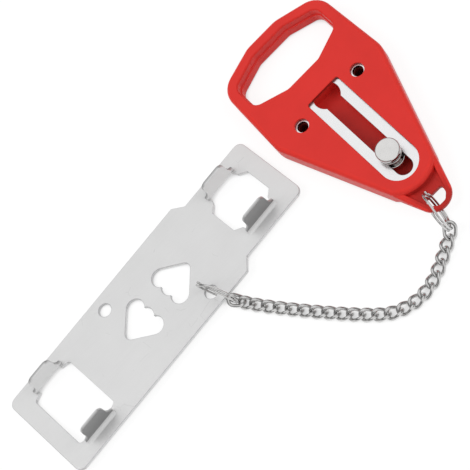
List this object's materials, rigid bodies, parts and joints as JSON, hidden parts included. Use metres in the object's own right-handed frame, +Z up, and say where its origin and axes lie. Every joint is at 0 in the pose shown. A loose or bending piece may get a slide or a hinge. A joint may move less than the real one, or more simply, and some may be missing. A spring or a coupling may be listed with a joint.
{
  "type": "portable door lock",
  "caption": "Portable door lock: moulded handle with grip window and sliding locking pin, joined by a short curb chain to a stamped strike plate with bent claws.",
  "frame": {"origin": "middle of the handle's length, on its centre line, at its flat back, which lies on the floor", "axes": "+Z up out of the handle's front, +Y from the handle's tip towards its grip window, +X to the right seen from above with the grip away"},
  "size_m": [0.2199, 0.1389, 0.0191],
  "materials": {
    "red_plastic": "satin moulded plastic",
    "insert_steel": "bright smooth steel",
    "turned_steel": "turned satin steel",
    "bright_nickel": "bright nickel plate",
    "ring_steel": "bright nickel plate",
    "satin_plate_steel": "satin brushed steel"
  },
  "bodies": {
    "handle": {"handle_moulding": "red_plastic", "steel_insert": "insert_steel"},
    "pin": {"locking_pin": "turned_steel"},
    "handle_ring": {"handle_split_ring": "ring_steel"},
    "link_01": {"chain_link_01": "bright_nickel"},
    "link_02": {"chain_link_02": "bright_nickel"},
    "link_03": {"chain_link_03": "bright_nickel"},
    "link_04": {"chain_link_04": "bright_nickel"},
    "link_05": {"chain_link_05": "bright_nickel"},
    "link_06": {"chain_link_06": "bright_nickel"},
    "link_07": {"chain_link_07": "bright_nickel"},
    "link_08": {"chain_link_08": "bright_nickel"},
    "link_09": {"chain_link_09": "bright_nickel"},
    "link_10": {"chain_link_10": "bright_nickel"},
    "link_11": {"chain_link_11": "bright_nickel"},
    "link_12": {"chain_link_12": "bright_nickel"},
    "link_13": {"chain_link_13": "bright_nickel"},
    "link_14": {"chain_link_14": "bright_nickel"},
    "link_15": {"chain_link_15": "bright_nickel"},
    "link_16": {"chain_link_16": "bright_nickel"},
    "link_17": {"chain_link_17": "bright_nickel"},
    "link_18": {"chain_link_18": "bright_nickel"},
    "link_19": {"chain_link_19": "bright_nickel"},
    "link_20": {"chain_link_20": "bright_nickel"},
    "link_21": {"chain_link_21": "bright_nickel"},
    "link_22": {"chain_link_22": "bright_nickel"},
    "plate_ring": {"plate_split_ring": "ring_steel"},
    "plate": {"strike_plate": "satin_plate_steel"}
  },
  "joints": [
    {"name": "pin_slide", "type": "slide", "parent": "handle", "child": "pin", "axis": [0, 1, 0], "range_m": [-0.0084, 0.0375]},
    {"name": "handle_ring_turn", "type": "hinge", "parent": "handle", "child": "handle_ring", "pos_m": [-0.00259, -0.05263, 0.0045], "axis": [0, 0, 1], "range_deg": [-3, 20]},
    {"name": "link_01_turn", "type": "hinge", "parent": "handle_ring", "child": "link_01", "pos_m": [-0.00407, -0.06571, 0.00441], "axis": [0, 0, -1], "range_deg": [-14, 3]},
    {"name": "link_02_turn", "type": "hinge", "parent": "link_01", "child": "link_02", "pos_m": [-0.00825, -0.06794, 0.00202], "axis": [0, 0, 1], "range_deg": [-3, 20]},
    {"name": "link_03_turn", "type": "hinge", "parent": "link_02", "child": "link_03", "pos_m": [-0.01294, -0.07054, 0.00202], "axis": [0, 0, -1], "range_deg": [-20, 3]},
    {"name": "link_04_turn", "type": "hinge", "parent": "link_03", "child": "link_04", "pos_m": [-0.01769, -0.07301, 0.00202], "axis": [0, 0, 1], "range_deg": [-3, 20]},
    {"name": "link_05_turn", "type": "hinge", "parent": "link_04", "child": "link_05", "pos_m": [-0.02254, -0.0753, 0.00202], "axis": [0, 0, -1], "range_deg": [-20, 3]},
    {"name": "link_06_turn", "type": "hinge", "parent": "link_05", "child": "link_06", "pos_m": [-0.0276, -0.07707, 0.00202], "axis": [0, 0, 1], "range_deg": [-3, 20]},
    {"name": "link_07_turn", "type": "hinge", "parent": "link_06", "child": "link_07", "pos_m": [-0.03292, -0.0777, 0.00202], "axis": [0, 0, -1], "range_deg": [-20, 3]},
    {"name": "link_08_turn", "type": "hinge", "parent": "link_07", "child": "link_08", "pos_m": [-0.03825, -0.07714, 0.00202], "axis": [0, 0, 1], "range_deg": [-3, 20]},
    {"name": "link_09_turn", "type": "hinge", "parent": "link_08", "child": "link_09", "pos_m": [-0.04333, -0.07542, 0.00202], "axis": [0, 0, -1], "range_deg": [-20, 3]},
    {"name": "link_10_turn", "type": "hinge", "parent": "link_09", "child": "link_10", "pos_m": [-0.0479, -0.07262, 0.00202], "axis": [0, 0, 1], "range_deg": [-3, 20]},
    {"name": "link_11_turn", "type": "hinge", "parent": "link_10", "child": "link_11", "pos_m": [-0.05175, -0.06889, 0.00202], "axis": [0, 0, -1], "range_deg": [-20, 3]},
    {"name": "link_12_turn", "type": "hinge", "parent": "link_11", "child": "link_12", "pos_m": [-0.0553, -0.06488, 0.00202], "axis": [0, 0, 1], "range_deg": [-3, 20]},
    {"name": "link_13_turn", "type": "hinge", "parent": "link_12", "child": "link_13", "pos_m": [-0.05874, -0.06077, 0.00202], "axis": [0, 0, -1], "range_deg": [-20, 3]},
    {"name": "link_14_turn", "type": "hinge", "parent": "link_13", "child": "link_14", "pos_m": [-0.06211, -0.0566, 0.00202], "axis": [0, 0, 1], "range_deg": [-3, 20]},
    {"name": "link_15_turn", "type": "hinge", "parent": "link_14", "child": "link_15", "pos_m": [-0.0654, -0.05237, 0.00202], "axis": [0, 0, -1], "range_deg": [-20, 3]},
    {"name": "link_16_turn", "type": "hinge", "parent": "link_15", "child": "link_16", "pos_m": [-0.06865, -0.04811, 0.00202], "axis": [0, 0, 1], "range_deg": [-3, 20]},
    {"name": "link_17_turn", "type": "hinge", "parent": "link_16", "child": "link_17", "pos_m": [-0.07186, -0.04381, 0.00202], "axis": [0, 0, -1], "range_deg": [-20, 3]},
    {"name": "link_18_turn", "type": "hinge", "parent": "link_17", "child": "link_18", "pos_m": [-0.07502, -0.03948, 0.00202], "axis": [0, 0, 1], "range_deg": [-3, 20]},
    {"name": "link_19_turn", "type": "hinge", "parent": "link_18", "child": "link_19", "pos_m": [-0.07814, -0.03513, 0.00202], "axis": [0, 0, -1], "range_deg": [-20, 3]},
    {"name": "link_20_turn", "type": "hinge", "parent": "link_19", "child": "link_20", "pos_m": [-0.08122, -0.03074, 0.00202], "axis": [0, 0, 1], "range_deg": [-3, 20]},
    {"name": "link_21_turn", "type": "hinge", "parent": "link_20", "child": "link_21", "pos_m": [-0.08415, -0.02625, 0.00202], "axis": [0, 0, -1], "range_deg": [-20, 3]},
    {"name": "link_22_turn", "type": "hinge", "parent": "link_21", "child": "link_22", "pos_m": [-0.08642, -0.02247, 0.00239], "axis": [0, 0, 1], "range_deg": [-3, 20]},
    {"name": "plate_ring_turn", "type": "hinge", "parent": "link_22", "child": "plate_ring", "pos_m": [-0.08903, -0.01808, 0.00402], "axis": [0, 0, -1], "range_deg": [-10, 3]},
    {"name": "plate_turn", "type": "hinge", "parent": "plate_ring", "child": "plate", "pos_m": [-0.09281, -0.00946, 0.00324], "axis": [0, 0, 1], "range_deg": [-3, 20]}
  ]
}
